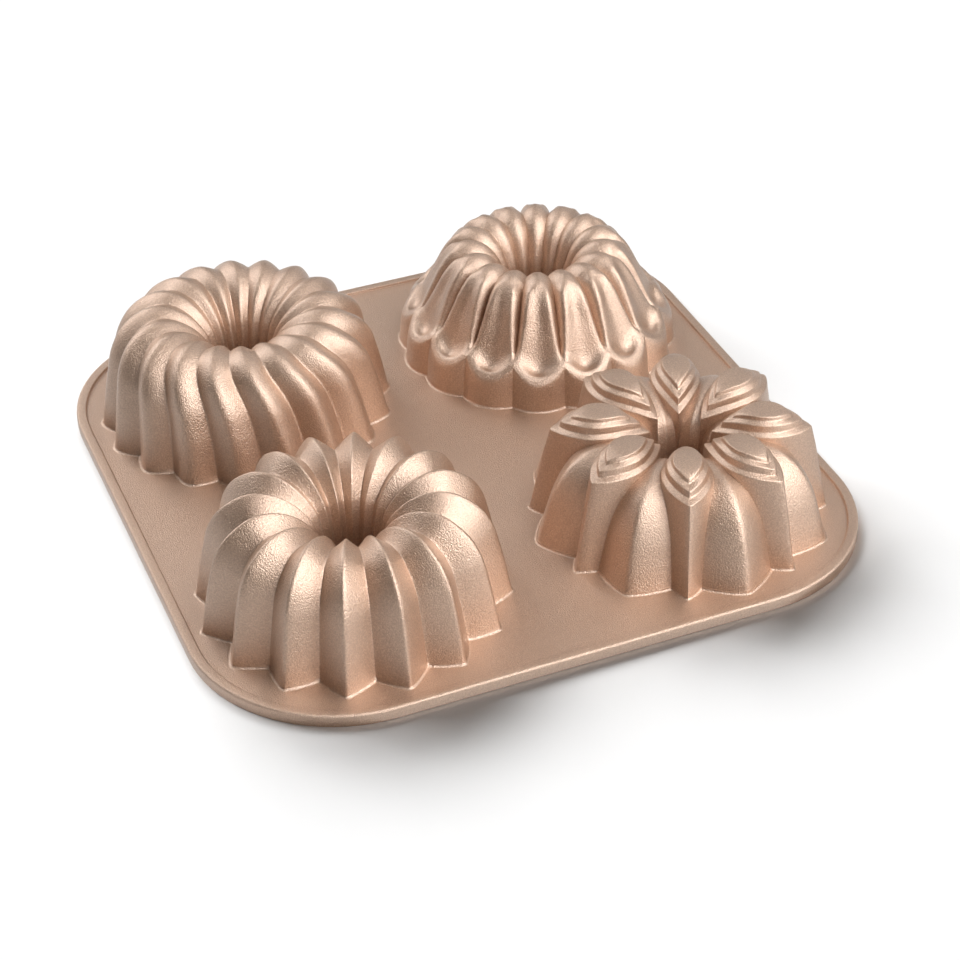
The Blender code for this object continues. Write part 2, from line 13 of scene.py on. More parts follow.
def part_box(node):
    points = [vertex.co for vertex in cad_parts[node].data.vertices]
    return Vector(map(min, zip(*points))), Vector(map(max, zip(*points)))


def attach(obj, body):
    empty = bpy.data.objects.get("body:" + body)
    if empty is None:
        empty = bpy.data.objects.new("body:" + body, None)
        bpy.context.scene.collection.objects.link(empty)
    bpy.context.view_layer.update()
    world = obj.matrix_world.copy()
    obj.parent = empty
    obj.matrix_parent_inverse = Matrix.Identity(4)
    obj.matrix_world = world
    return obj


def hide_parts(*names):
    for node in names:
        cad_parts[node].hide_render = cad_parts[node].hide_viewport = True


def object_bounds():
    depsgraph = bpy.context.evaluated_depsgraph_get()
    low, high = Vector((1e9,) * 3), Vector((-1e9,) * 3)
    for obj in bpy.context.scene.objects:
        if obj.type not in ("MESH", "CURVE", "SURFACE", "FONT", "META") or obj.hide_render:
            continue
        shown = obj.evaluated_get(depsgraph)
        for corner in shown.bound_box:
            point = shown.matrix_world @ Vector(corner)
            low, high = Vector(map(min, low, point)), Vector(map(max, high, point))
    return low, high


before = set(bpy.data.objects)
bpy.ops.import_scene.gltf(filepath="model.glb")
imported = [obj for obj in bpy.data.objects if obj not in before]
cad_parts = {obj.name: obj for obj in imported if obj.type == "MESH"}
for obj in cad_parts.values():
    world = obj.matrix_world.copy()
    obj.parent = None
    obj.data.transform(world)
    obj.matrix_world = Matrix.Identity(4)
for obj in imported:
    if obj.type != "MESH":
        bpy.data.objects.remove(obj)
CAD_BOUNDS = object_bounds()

bl_info = {
    "name": "Mini Bundt Pan",
    "version": (1, 0, 0),
    "blender": (4, 5, 0),
    "location": "3D View > Sidebar > Bundt Pan",
    "description": "Builds a champagne-coated cast pan with four ring moulds, and the table it stands on",
    "category": "Object",
}

RIM_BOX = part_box("rim_border")
DECK_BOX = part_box("deck_plate")
SWIRL_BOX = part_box("swirl_mould")
STAR_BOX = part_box("star_mould")
SCALLOP_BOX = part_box("scallop_mould")
PETAL_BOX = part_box("petal_mould")
TUBE_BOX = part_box("star_centre_tube")

# Section tables: how far out between hole and foot, how far up between deck and crown, and how deep
# the crease lies. The swirl's fourth column is its lean.
SWIRL_ROWS = (
    (1.000, 0.000, 1.00, 0.00), (0.905, 0.480, 0.97, 0.19), (0.848, 0.690, 0.93, 0.34),
    (0.765, 0.830, 0.84, 0.51), (0.660, 0.922, 0.70, 0.68), (0.535, 0.984, 0.52, 0.80),
    (0.407, 1.000, 0.42, 0.89), (0.280, 0.972, 0.38, 0.95), (0.165, 0.905, 0.36, 1.00),
    (0.070, 0.811, 0.34, 1.00), (0.000, 0.694, 0.32, 1.00),
)
STAR_ROWS = (
    (1.000, 0.000, 1.00), (0.905, 0.480, 0.97), (0.846, 0.690, 0.95), (0.762, 0.830, 0.92),
    (0.658, 0.920, 0.85), (0.535, 0.985, 0.76), (0.407, 1.000, 0.70), (0.280, 0.970, 0.60),
    (0.165, 0.902, 0.46), (0.070, 0.808, 0.36), (0.000, 0.700, 0.28),
)
ARCH_ROWS = (
    (1.000, 0.000, 1.00), (0.922, 0.330, 0.98), (0.858, 0.560, 0.94), (0.783, 0.725, 0.86),
    (0.683, 0.862, 0.72), (0.566, 0.946, 0.50), (0.443, 0.990, 0.36), (0.315, 1.000, 0.30),
    (0.190, 0.970, 0.24), (0.085, 0.915, 0.20), (0.000, 0.850, 0.18),
)

# The scalloped mould has three lines along each rib, each as out and up: its middle, its raised edge
# and its crease. Then come how fully the rib is a spoon and where its edge stands across the rib,
# where a crease is at 0.5 and the limit keeps the edge short of it.
SCALLOP_ROWS = (
    (1.000, 0.000, 0.977, 0.000, 0.937, 0.000, 0.00, 0.300),
    (0.988, 0.149, 0.965, 0.152, 0.922, 0.155, 0.00, 0.300),
    (0.980, 0.225, 0.949, 0.248, 0.905, 0.282, 0.00, 0.320),
    (0.968, 0.261, 0.924, 0.320, 0.882, 0.375, 0.00, 0.360),
    (0.945, 0.292, 0.898, 0.357, 0.872, 0.393, 0.00, 0.400),
    (0.912, 0.320, 0.878, 0.383, 0.865, 0.403, 0.35, 0.440),
    (0.891, 0.318, 0.865, 0.399, 0.855, 0.412, 0.80, 0.455),
    (0.859, 0.318, 0.842, 0.414, 0.829, 0.424, 1.00, 0.450),
    (0.823, 0.334, 0.817, 0.434, 0.792, 0.438, 1.00, 0.440),
    (0.787, 0.375, 0.785, 0.464, 0.741, 0.460, 1.00, 0.425),
    (0.739, 0.464, 0.747, 0.525, 0.684, 0.505, 1.00, 0.395),
    (0.695, 0.558, 0.709, 0.599, 0.642, 0.574, 1.00, 0.360),
    (0.642, 0.664, 0.661, 0.692, 0.583, 0.655, 1.00, 0.325),
    (0.589, 0.769, 0.611, 0.790, 0.531, 0.745, 1.00, 0.290),
    (0.535, 0.867, 0.549, 0.879, 0.478, 0.822, 0.85, 0.265),
    (0.480, 0.936, 0.486, 0.940, 0.429, 0.869, 0.50, 0.250),
    (0.415, 0.983, 0.407, 0.963, 0.385, 0.905, 0.00, 0.250),
    (0.343, 0.999, 0.342, 0.981, 0.339, 0.926, 0.00, 0.250),
    (0.213, 0.975, 0.218, 0.963, 0.234, 0.928, 0.00, 0.250),
    (0.093, 0.877, 0.101, 0.871, 0.126, 0.855, 0.00, 0.250),
    (0.000, 0.688, 0.009, 0.686, 0.038, 0.680, 0.00, 0.250),
)
SPOON_EDGE_LIMIT = 0.47

# Below a throat: how far down the tube, how far drawn in, and how much of the flutes is left.
TUBE_ROWS = ((0.12, 0.30, 0.93), (0.30, 0.60, 0.84), (0.60, 0.85, 0.70), (1.00, 1.00, 0.55))
PETAL_TUBE_ROWS = ((0.05, 0.27, 0.95), (0.11, 0.44, 0.90), (0.23, 0.64, 0.80), (0.37, 0.78, 0.70),
                   (0.66, 0.92, 0.60), (1.00, 1.00, 0.50))

# A leaf: where along it it is widest, how full its ends are, how much faster its tips draw in than
# its sides, at which shares of its wall's height there is a row, how far under its edge its steps
# start, how far in the rows of its top lie and how high, and the least width of its top.
LEAF_SKEW = 1.16
LEAF_FULLNESS = 0.75
TIP_PULL = 1.95
LEAF_WALL_SHARES = (0.0, 0.125, 0.25, 0.375, 0.5, 0.625, 0.75)
LEAF_SKIRT = 0.0030
LEAF_TOP_START = (0.0012, 0.00005)
LEAF_TOP_ROWS = (0.0022, 0.0034, 0.0045, 0.0052)
LEAF_TOP_RISE = 0.0001
LEAF_LEAST_WIDTH = 0.0004

# How finely curves are divided, and how strongly steps crowd together where a curve is tight.
OUTER_ROW_STEP = 0.0013
SPOON_ROW_STEP = 0.0009
INNER_ROW_STEP = 0.0030
STEPS_PER_RIB = 20
STEPS_PER_SPOON = 26
STEPS_PER_ARCH = 36
CROWDING = 0.55
FILLET_STEPS = 5
CORNER_STEPS = 20
LEAF_STEPS = 20
LEAF_ROUND_STEPS = 3
CONE_STEPS = 96

# How deep a toe reaches into the deck, how far a cutter overruns, how far a rounding may eat into
# the edges beside it, where the middle of a rounding in two steps lies, and how far a mitre runs out.
TOE_SINK = 0.0001
CUT_OVERRUN = 0.0010
ROUND_LIMIT = 0.45
BEND = 0.3
MITRE_LIMIT = 0.5

# Each slot's roughness setting, the size of its grain and how far its tone drifts.
COATINGS = {
    "coated_mould": ("mould_roughness", 0.00060, 0.05),
    "coated_deck": ("deck_roughness", 0.00042, 0.04),
    "coated_rim": ("rim_roughness", 0.00042, 0.03),
}
GRAIN_DEPTH = 0.00035
ROUGHNESS_DRIFT = 0.07
CLOUD_SCALE = 38.0

# Softboxes as name, setting, size and place, and the lights that lay the shadow.
SOFTBOXES = (
    ("key_light", "key", 1.6, (0.56, -0.90, 1.06)),
    ("back_light", "back", 1.2, (-0.57, 1.03, 0.88)),
    ("side_light", "side", 1.2, (0.94, 0.79, 0.86)),
    ("low_light", "low", 0.9, (0.80, -1.25, 0.26)),
)
SHADOW_PLACES = ((-0.75, 0.96, 0.86), (-0.27, 1.19, 0.86), (0.25, 1.19, 0.86))
SHADOW_SOFTNESS = math.radians(24.0)
LAMP_AIM = Vector((0.0, 0.0, 0.02))
TABLE_HALF = 6.0


def setting(maker, **limits):
    """A kind of setting, which then takes a name, a description and a default."""
    def make(name, description, default):
        return maker(name=name, description=description, default=default, **limits)

    return make


length = setting(FloatProperty, min=0.0, unit="LENGTH", precision=5)
share = setting(FloatProperty, min=0.0, max=1.0, subtype="FACTOR")
amount = setting(FloatProperty, min=0.0)
angle = setting(FloatProperty, subtype="ANGLE")
count = setting(IntProperty, min=3)
colour = setting(FloatVectorProperty, size=4, min=0.0, max=1.0, subtype="COLOR")


def centre(box):
    """Where a mould stands: the middle of its node's box, on the table."""
    middle = ((box[0].x + box[1].x) / 2.0, (box[0].y + box[1].y) / 2.0, 0.0)
    place = setting(FloatVectorProperty, size=3, subtype="TRANSLATION", unit="LENGTH")
    return place("Centre", "Where the mould's axis stands", middle)


class TraySettings(PropertyGroup):
    width: length("Width", "Tray width from side to side", RIM_BOX[1].x - RIM_BOX[0].x)
    depth: length("Depth", "Tray depth from front to back", RIM_BOX[1].y - RIM_BOX[0].y)
    corner_radius: length("Corner Radius", "Radius of the tray's corners", 0.0615)
    rim_width: length("Rim Width", "Width of the raised border", 0.0042)
    rim_height: length("Rim Height", "Top of the border over the table", RIM_BOX[1].z)
    rim_round: length("Rim Round", "Rounding of the border's outer top edge", 0.0010)
    rim_inner_round: length("Inner Round", "Rounding of the border's other edges", 0.00045)
    deck_top: length("Deck Top", "Upper face of the deck over the table", DECK_BOX[1].z)
    deck_underside: length("Deck Underside", "Lower face of the deck over the table", DECK_BOX[0].z)
    foot_fillet: length("Foot Fillet", "Rounding where a mould's foot meets the deck", 0.0010)
    cup_lip: length("Cup Lip", "Rounding of a cup's mouth on the underside", 0.0010)
    mould_wall: length("Mould Wall", "Thickness of the moulds' walls", 0.0027)
    tube_wall: length("Tube Wall", "Thickness of the centre tubes' walls", 0.0025)
    tube_draft: share("Tube Draft", "How far a tube is drawn in at its lower end", 0.30)
    tube_end: length("Tube End", "Lower end of the tubes over the table", TUBE_BOX[0].z)
    throat: length("Throat", "Height at which a mould's throat turns into its tube", 0.0380)


def mould_settings(box, ribs, foot_radius, hole_radius, crown=None):
    """The settings that every mould has."""
    return {
        "centre": centre(box),
        "ribs": count("Ribs", "Number of ribs, lobes or panels", ribs),
        "foot_radius": length("Foot Radius", "Radius over the ribs at the deck", foot_radius),
        "hole_radius": length("Hole Radius", "Radius of the throat between opposite ribs", hole_radius),
        "crown": length("Crown", "Height over the deck", crown or box[1].z - DECK_BOX[1].z),
    }


def fold_settings(crease_depth, ridge_round, crease_round):
    """The settings of ribs that are folded from crease to ridge."""
    return {
        "crease_depth": length("Crease Depth", "Depth of the creases at the foot", crease_depth),
        "ridge_round": share("Ridge Round", "How broadly the ridges are rounded", ridge_round),
        "crease_round": share("Crease Round", "How broadly the creases are rounded", crease_round),
    }


class SwirlSettings(PropertyGroup):
    __annotations__ = {
        **mould_settings(SWIRL_BOX, ribs=18, foot_radius=0.0622, hole_radius=0.0142),
        **fold_settings(crease_depth=0.0055, ridge_round=0.45, crease_round=0.06),
        "lean": angle("Lean", "How far the lobes turn as they climb", math.radians(-17.0)),
        "turn": angle("Turn", "Direction of the first lobe at the foot", math.radians(10.0)),
    }


class StarSettings(PropertyGroup):
    __annotations__ = {
        **mould_settings(STAR_BOX, ribs=16, foot_radius=0.0616, hole_radius=0.0140),
        **fold_settings(crease_depth=0.0080, ridge_round=0.07, crease_round=0.03),
    }


class ScallopSettings(PropertyGroup):
    __annotations__ = mould_settings(SCALLOP_BOX, ribs=16, foot_radius=0.0617, hole_radius=0.0142)


class PetalSettings(PropertyGroup):
    __annotations__ = {
        **mould_settings(PETAL_BOX, ribs=8, foot_radius=0.0622, hole_radius=0.0152, crown=0.0398),
        **fold_settings(crease_depth=0.0110, ridge_round=0.07, crease_round=0.0),
        "arch_draft": share("Arch Draft", "How far the panels are drawn in at the tube's end", 0.39),
        "foot_tip": length("Foot Tip", "Radius of the leaves' tips at the deck", 0.0605),
        "outer_tip": length("Outer Tip", "Radius of the leaves' outer tips", 0.0522),
        "inner_tip": length("Inner Tip", "Radius of the leaves' inner tips", 0.0122),
        "tip_draft": length("Tip Draft", "How far the inner tips draw in down to the tube's end", 0.0028),
        "half_width": length("Half Width", "Half of a leaf's width", 0.0102),
        "edge_height": length("Edge Height", "Lowest step of a leaf over the deck", 0.0405),
        "tread": length("Tread", "Width of a step", 0.0019),
        "tread_rise": length("Tread Rise", "How much a step climbs across its width", 0.0012),
        "riser": length("Riser", "Height of the wall between two steps", 0.0029),
        "top_riser": length("Top Riser", "Height of the uppermost wall", 0.0017),
        "riser_slope": length("Riser Slope", "How much a wall leans in", 0.0003),
        "outer_drop": length("Outer Drop", "How far a leaf falls at its outer tip", 0.0014),
        "crown_drop": length("Crown Drop", "How much farther a leaf's top falls at its tips", 0.0018),
        "inner_drop": length("Inner Drop", "How far a leaf falls at its inner tip", 0.0034),
        "edge_round": length("Edge Round", "Rounding of the steps' edges", 0.00045),
        "face_share": share("Face Share", "How far out a leaf's tip still is at half its height", 0.50),
    }


class FinishSettings(PropertyGroup):
    coating: colour("Coating", "Champagne colour of the coating", (0.575, 0.358, 0.230, 1.0))
    coating_dark: colour("Coating Dark", "Coating between its flakes", (0.455, 0.272, 0.168, 1.0))
    coating_light: colour("Coating Light", "Brightest flakes", (0.715, 0.510, 0.360, 1.0))
    metal_share: share("Metal Share", "How metallic the coating looks", 0.98)
    gloss: share("Gloss", "How much clear gloss lies over the colour", 1.0)
    gloss_roughness: share("Gloss Roughness", "Roughness of the clear gloss", 0.33)
    gloss_index: amount("Gloss Index", "Refractive index of the clear gloss", 2.3)
    mould_roughness: share("Mould Roughness", "Roughness of the moulds", 0.47)
    deck_roughness: share("Deck Roughness", "Roughness of the deck", 0.52)
    rim_roughness: share("Rim Roughness", "Roughness of the border", 0.45)
    grain: share("Grain", "Strength of the cast grain", 0.85)


class StageSettings(PropertyGroup):
    floor: amount("Floor", "Brightness of the table", 0.80)
    floor_seen: amount("Floor Seen", "Brightness of the table as it is seen", 1.0)
    floor_mirrored: amount("Floor Mirrored", "Brightness of the table in the metal", 0.72)
    room: amount("Room", "Brightness of the white room", 0.11)
    key: amount("Key", "Power of the lamp at the front right", 30.0)
    back: amount("Back", "Power of the lamp at the back left", 11.0)
    low: amount("Low", "Power of the low lamp at the front right", 5.0)
    side: amount("Side", "Power of the lamp at the back right", 3.5)
    sun: amount("Sun", "Strength of the light that casts the tray's shadow", 5.1)


def smooth_rows(rows, step):
    """The rows of a table joined by a smooth curve, with a row about every step along it."""
    spans = [math.dist(a[:2], b[:2]) for a, b in zip(rows, rows[1:])]
    slopes = []
    for index in range(len(rows)):
        if index == 0:
            slope = [(b - a) / spans[0] for a, b in zip(rows[0], rows[1])]
        elif index == len(rows) - 1:
            slope = [(b - a) / spans[-1] for a, b in zip(rows[-2], rows[-1])]
        else:
            before, after = spans[index - 1], spans[index]
            slope = [((c - b) / after * before + (b - a) / before * after) / (before + after)
                     for a, b, c in zip(rows[index - 1], rows[index], rows[index + 1])]
        slopes.append(slope)
    smooth = []
    for index, span in enumerate(spans):
        pieces = max(1, round(span / step))
        for piece in range(pieces):
            t = piece / pieces
            start = 2.0 * t ** 3 - 3.0 * t ** 2 + 1.0
            leave = (t ** 3 - 2.0 * t ** 2 + t) * span
            arrive = (t ** 3 - t ** 2) * span
            smooth.append(tuple(
                start * a + leave * m + (1.0 - start) * b + arrive * n for a, m, b, n in
                zip(rows[index], slopes[index], rows[index + 1], slopes[index + 1])))
    smooth.append(tuple(rows[-1]))
    return smooth


def table_rows(table, mould, tray):
    """A section table in metres: radius, height and crease depth, and its other columns as they are."""
    rows = []
    for row in table:
        radius = mould.hole_radius + (mould.foot_radius - mould.hole_radius) * row[0]
        rows.append((radius, tray.deck_top + mould.crown * row[1], mould.crease_depth * row[2])
                    + tuple(row[3:]))
    rows[-1] = (rows[-1][0], tray.throat) + rows[-1][2:]
    return rows


def tube_rows(throat, table, draft, tray):
    """Rows that carry a throat on down its tube, narrower and with shallower flutes."""
    span = throat[1] - tray.tube_end
    return [(throat[0] * (1.0 - draft * drawn), throat[1] - span * fallen, throat[2] * flute)
            + tuple(throat[3:]) for fallen, drawn, flute in table]


def profile_normals(rows):
    """Outward normals along a section, straight out at its foot and straight in at its throat."""
    normals = []
    for index in range(len(rows)):
        before = rows[max(index - 1, 0)]
        after = rows[min(index + 1, len(rows) - 1)]
        run = (after[0] - before[0], after[1] - before[1])
        size = math.hypot(*run)
        normals.append((run[1] / size, -run[0] / size))
    normals[0] = (1.0, 0.0)
    normals[-1] = (-1.0, 0.0)
    return normals


def mitre_share(radius, depth, ribs):
    """How much farther a folded wall moves so that its slanting faces keep their thickness."""
    half_rib = math.pi * radius / ribs
    return math.hypot(depth, half_rib) / half_rib


def soft_fold(phase, ridge_round, crease_round):
    """Height of a fold: one on the ridge and nothing in the crease, each rounded over."""
    reach = math.hypot(1.0, ridge_round) - ridge_round
    left = 1.0 - (math.hypot(2.0 * phase, ridge_round) - ridge_round) / reach
    reach = math.hypot(1.0, crease_round) - crease_round
    return (math.hypot(left, crease_round) - crease_round) / reach


def rib_phase(step, steps_per_rib):
    """Where a step lies on its rib: zero on the ridge, a half either way in the creases."""
    phase = (step % steps_per_rib) / steps_per_rib
    return phase - 1.0 if phase > 0.5 else phase


def crowd_both(phase):
    """Draw the steps across a rib towards its ridge and its creases."""
    return phase - CROWDING / (4.0 * math.pi) * math.sin(4.0 * math.pi * phase)


def crowd_crease(phase):
    """Draw the steps across a rib towards its creases."""
    return phase + CROWDING / (2.0 * math.pi) * math.sin(2.0 * math.pi * phase)


def even_turn(_row):
    """Ribs that run straight out from the axis."""
    return 0.0


# A mould's flutes: how many, steps across each, the curve across one, where the first stands, how far
# a row has turned and where the steps crowd together.
Flutes = namedtuple("Flutes", "ribs steps across turn lean crowd", defaults=(0.0, even_turn, crowd_both))


def fold_across(ridge_round, crease_round):
    """Across a rib: a fold from crease to ridge."""
    def across(phase, lines, _row):
        ridge, crease = lines
        up = soft_fold(phase, ridge_round, crease_round)
        return (crease[0] + (ridge[0] - crease[0]) * up, crease[1] + (ridge[1] - crease[1]) * up)

    return across


def spoon_across(phase, lines, row):
    """Across a rib: an arc, or a spoon with a raised edge on either side, as its row says."""
    middle, edge, crease = lines
    spoon = min(max(row[6], 0.0), 1.0)
    reach = min(row[7], SPOON_EDGE_LIMIT)
    apart = abs(phase)
    if apart < reach:
        near, far = middle, edge
        arc = (apart / reach) ** 2
        bowl = 1.0 - (1.0 - arc) ** 2
    else:
        near, far = edge, crease
        arc = (apart ** 2 - reach ** 2) / (0.25 - reach ** 2)
        bowl = ((apart - reach) / (0.5 - reach)) ** 2
    on = arc + (bowl - arc) * spoon
    return (near[0] + (far[0] - near[0]) * on, near[1] + (far[1] - near[1]) * on)


def fold_flutes(mould, steps=STEPS_PER_RIB, turn=0.0, lean=even_turn):
    return Flutes(mould.ribs, steps, fold_across(mould.ridge_round, mould.crease_round), turn, lean)


def swirl_flutes(swirl):
    return fold_flutes(swirl, turn=swirl.turn, lean=lambda row: swirl.lean * row[3])


def spoon_flutes(scallop):
    return Flutes(scallop.ribs, STEPS_PER_SPOON, spoon_across, crowd=crowd_crease)


def fold_lines(rows):
    """Ridge and crease points for each row of a folded skin."""
    stations = []
    for row, (out, up) in zip(rows, profile_normals(rows)):
        crease = (row[0] - out * row[2], row[1] - up * row[2])
        stations.append((((row[0], row[1]), crease), row))
    return stations


def cup_lines(rows, ribs, wall):
    """The same for the cup, one wall farther in."""
    stations = []
    for row, (out, up) in zip(rows, profile_normals(rows)):
        thick = wall * mitre_share(row[0], row[2], ribs)
        ridge = (row[0] - out * thick, row[1] - up * thick)
        stations.append(((ridge, (ridge[0] - out * row[2], ridge[1] - up * row[2])), row))
    return stations


def quarter_round():
    """Steps of a quarter circle, as how far each has left its two ends' lines."""
    turns = [math.pi / 2.0 * step / FILLET_STEPS for step in range(FILLET_STEPS + 1)]
    return [(1.0 - math.cos(turn), 1.0 - math.sin(turn)) for turn in turns]


def foot_stations(outer, ribs, tray):
    """The mould's foot: down through the deck, with a rounded toe that runs out on to it."""
    lines, row = outer[0]
    lowest = tray.deck_top + tray.foot_fillet
    above = next(station for station in outer if station[0][0][1] > lowest)
    fall = (lines[0][0] - above[0][0][0]) / (above[0][0][1] - tray.deck_top)
    sunk = tray.deck_top - TOE_SINK
    reach = tray.foot_fillet * mitre_share(lines[0][0], lines[0][0] - lines[-1][0], ribs)

    def at(out, height):
        inward = max(height - tray.deck_top, 0.0) * fall
        return tuple((radius + out - inward, height) for radius, _ in lines), row

    stations = [at(0.0, tray.deck_underside), at(0.0, sunk), at(reach, sunk)]
    stations += [at(reach * out, tray.deck_top + tray.foot_fillet * up) for up, out in quarter_round()]
    return stations + [station for station in outer if station[0][-1][1] > lowest]


def mouth_stations(cup, tray):
    """The cup's mouth on the underside, rounded."""
    lines, row = cup[0]
    return [(tuple((radius + tray.cup_lip * out, tray.deck_underside + tray.cup_lip * up)
                   for radius, _ in lines), row) for up, out in quarter_round()]


def spin_section(section, steps):
    """A closed section spun once round the upright axis. Each vertex keeps its station's number."""
    builder = bmesh.new()
    layer = builder.verts.layers.int.new("station")
    verts = []
    for index, (radius, height) in enumerate(section):
        vert = builder.verts.new((radius, 0.0, height))
        vert[layer] = index
        verts.append(vert)
    edges = [builder.edges.new((verts[index - 1], verts[index])) for index in range(len(verts))]
    bmesh.ops.spin(builder, geom=verts + edges, cent=(0.0, 0.0, 0.0), axis=(0.0, 0.0, 1.0),
                   angle=2.0 * math.pi, steps=steps, use_merge=True, use_duplicate=False)
    return builder, layer


def flute_point(flutes, step, station):
    """Where one step round the flutes lies on a station: across, back and up."""
    lines, row = station
    phase = rib_phase(step, flutes.steps)
    moved = flutes.crowd(phase)
    radius, height = flutes.across(moved, lines, row)
    angle = 2.0 * math.pi * (step / (flutes.ribs * flutes.steps) + (moved - phase) / flutes.ribs)
    angle = angle + flutes.turn + flutes.lean(row)
    return radius * math.cos(angle), radius * math.sin(angle), height


def fluted_ring(stations, flutes):
    """Spin the stations into a ring and press the ribs into it."""
    steps = flutes.ribs * flutes.steps
    builder, layer = spin_section([lines[0] for lines, _ in stations], steps)
    for vert in builder.verts:
        step = round(math.atan2(vert.co.y, vert.co.x) / (2.0 * math.pi) * steps)
        vert.co = flute_point(flutes, step, stations[vert[layer]])
    return builder


def foot_outline(station, flutes, place):
    """Outline of a mould's foot on the deck, as flat points."""
    points = [flute_point(flutes, step, station) for step in range(flutes.ribs * flutes.steps)]
    return [(place[0] + x, place[1] + y) for x, y, _ in points]


def outline_normals(points):
    """Outward normals of a closed outline that runs anticlockwise."""
    normals = []
    for index, point in enumerate(points):
        before = points[index - 1]
        after = points[(index + 1) % len(points)]
        one = Vector((point[1] - before[1], before[0] - point[0])).normalized()
        two = Vector((after[1] - point[1], point[0] - after[0])).normalized()
        both = (one + two).normalized()
        normals.append(both / max(both.dot(one), MITRE_LIMIT))
    return normals


def outline_ring(points, section):
    """Lay a closed section of (outward, height) along a closed outline."""
    steps = len(points)
    normals = outline_normals(points)
    builder, layer = spin_section([(1.0 + out, height) for out, height in section], steps)
    for vert in builder.verts:
        step = round(math.atan2(vert.co.y, vert.co.x) / (2.0 * math.pi) * steps) % steps
        out, height = section[vert[layer]]
        normal = normals[step]
        vert.co = (points[step][0] + normal.x * out, points[step][1] + normal.y * out, height)
    return builder


def rounded_square(tray, inset):
    """Outline of the tray, drawn in by inset."""
    radius = tray.corner_radius - inset
    points = []
    for quarter, (side_x, side_y) in enumerate(((1, 1), (-1, 1), (-1, -1), (1, -1))):
        for step in range(CORNER_STEPS + 1):
            angle = math.pi / 2.0 * (quarter + step / CORNER_STEPS)
            points.append((side_x * (tray.width / 2.0 - tray.corner_radius) + radius * math.cos(angle),
                           side_y * (tray.depth / 2.0 - tray.corner_radius) + radius * math.sin(angle)))
    return points


def rounded_path(points, radius, steps):
    """An open path with each inner corner rounded."""
    path = [points[0]]
    for before, corner, after in zip(points, points[1:], points[2:]):
        back = Vector(before) - Vector(corner)
        on = Vector(after) - Vector(corner)
        cut = min(radius, back.length * ROUND_LIMIT, on.length * ROUND_LIMIT)
        start = Vector(corner) + back.normalized() * cut
        end = Vector(corner) + on.normalized() * cut
        for step in range(steps + 1):
            t = step / steps
            point = start * (1.0 - t) ** 2 + Vector(corner) * 2.0 * t * (1.0 - t) + end * t ** 2
            path.append(tuple(point))
    path.append(points[-1])
    return path


def feed(tree, node, inputs):
    """Give each input a plain value, or link it to the socket that feeds it."""
    for key, value in inputs.items():
        if isinstance(value, bpy.types.NodeSocket):
            tree.links.new(value, node.inputs[key])
        else:
            node.inputs[key].default_value = value


def add_node(tree, kind, inputs=None, **settings):
    """A new shader node with its settings and inputs."""
    node = tree.nodes.new("ShaderNode" + kind)
    for name, value in settings.items():
        setattr(node, name, value)
    feed(tree, node, inputs or {})
    return node


def coating(slot, finish):
    """Champagne coating over cast metal: fine bright flakes, a soft cast grain and faint clouds."""
    name = slot.replace("coated", "champagne")
    material = bpy.data.materials.get(name)
    if material is not None:
        return material
    rough_setting, grain_size, drift = COATINGS[slot]
    roughness = getattr(finish, rough_setting)
    material = bpy.data.materials.new(name)
    material.use_nodes = True
    tree = material.node_tree
    place = add_node(tree, "TexCoord").outputs["Object"]
    flakes = add_node(tree, "TexNoise", {"Vector": place, "Scale": 1.0 / grain_size, "Detail": 2.0,
                                         "Roughness": 0.6}).outputs["Fac"]
    tone = add_node(tree, "ValToRGB", {"Fac": flakes})
    stops = tone.color_ramp.elements
    stops[0].position, stops[0].color = 0.30, finish.coating_dark
    stops[1].position, stops[1].color = 0.72, finish.coating_light
    stops.new(0.50).color = finish.coating
    clouds = add_node(tree, "TexNoise", {"Vector": place, "Scale": CLOUD_SCALE, "Detail": 3.0})
    cloudy = add_node(tree, "MapRange", {"Value": clouds.outputs["Fac"], "To Min": 1.0 - drift,
                                         "To Max": 1.0 + drift})
    shaded = add_node(tree, "VectorMath", {0: tone.outputs["Color"], "Scale": cloudy.outputs["Result"]},
                      operation="SCALE")
    worn = add_node(tree, "MapRange", {"Value": flakes, "To Min": roughness - ROUGHNESS_DRIFT,
                                       "To Max": roughness + ROUGHNESS_DRIFT})
    bump = add_node(tree, "Bump", {"Height": flakes, "Strength": finish.grain, "Distance": GRAIN_DEPTH})
    feed(tree, tree.nodes["Principled BSDF"], {
        "Base Color": shaded.outputs["Vector"], "Metallic": finish.metal_share,
        "Roughness": worn.outputs["Result"], "Normal": bump.outputs["Normal"],
        "Coat Weight": finish.gloss, "Coat Roughness": finish.gloss_roughness,
        "Coat IOR": finish.gloss_index, "Coat Normal": bump.outputs["Normal"],
    })
    return material


def finish_piece(name, builder, node, slot, place=(0.0, 0.0, 0.0), sharp=50.0):
    """Turn a bmesh into a piece that stands for a node of the CAD model."""
    bmesh.ops.translate(builder, verts=builder.verts[:], vec=place)
    bmesh.ops.recalc_face_normals(builder, faces=builder.faces[:])
    mesh = bpy.data.meshes.new(name)
    builder.to_mesh(mesh)
    builder.free()
    mesh.materials.append(coating(slot, bpy.context.scene.bundt_finish))
    mesh.shade_smooth()
    mesh.set_sharp_from_angle(angle=math.radians(sharp))
    piece = bpy.data.objects.new(name, mesh)
    bpy.context.scene.collection.objects.link(piece)
    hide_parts(node)
    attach(piece, "root")


